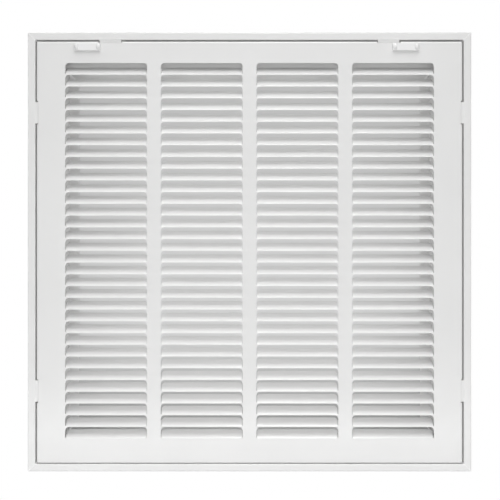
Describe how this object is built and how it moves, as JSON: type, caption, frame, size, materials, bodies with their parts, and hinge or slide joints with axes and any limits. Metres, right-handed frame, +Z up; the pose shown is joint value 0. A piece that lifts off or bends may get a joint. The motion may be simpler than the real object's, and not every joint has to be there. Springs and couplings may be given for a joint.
{
  "type": "return air filter grille",
  "caption": "Square white return air grille: a folded wall frame with a rear neck for a filter, and a bottom-hinged louvred door with sliding latches.",
  "frame": {"origin": "middle of the top rail's wall flange, on the face that lies on the wall", "axes": "+Y into the wall and duct, +Z up, +X to the right as seen from the room; the louvred face looks along -Y"},
  "size_m": [0.478, 0.0451, 0.4731],
  "materials": {
    "white_paint": "semi-gloss white powder coat on steel sheet",
    "pad_paint": "white powder coat on the latch pads",
    "zinc_plate": "zinc-plated steel, satin"
  },
  "bodies": {
    "frame": {"frame_top": "white_paint", "frame_bottom": "white_paint", "frame_left": "white_paint", "frame_right": "white_paint", "rivet_top_left_front": "white_paint", "rivet_top_left_rear": "white_paint", "rivet_top_right_front": "white_paint", "rivet_top_right_rear": "white_paint", "rivet_bottom_left_front": "white_paint", "rivet_bottom_left_rear": "white_paint", "rivet_bottom_right_front": "white_paint", "rivet_bottom_right_rear": "white_paint"},
    "door": {"door": "white_paint", "latch_keeper_left": "zinc_plate", "latch_keeper_right": "zinc_plate"},
    "latch_left": {"latch_knob_left": "pad_paint", "latch_bolt_left": "zinc_plate"},
    "latch_right": {"latch_knob_right": "pad_paint", "latch_bolt_right": "zinc_plate"}
  },
  "joints": [
    {"name": "door_hinge", "type": "hinge", "parent": "frame", "child": "door", "pos_m": [0, -0.009, -0.4397], "axis": [1, 0, 0], "range_deg": [0, 105]},
    {"name": "latch_left_slide", "type": "slide", "parent": "door", "child": "latch_left", "axis": [1, 0, 0], "range_m": [0, 0.0115]},
    {"name": "latch_right_slide", "type": "slide", "parent": "door", "child": "latch_right", "axis": [-1, 0, 0], "range_m": [-0.0065, 0.005]}
  ]
}
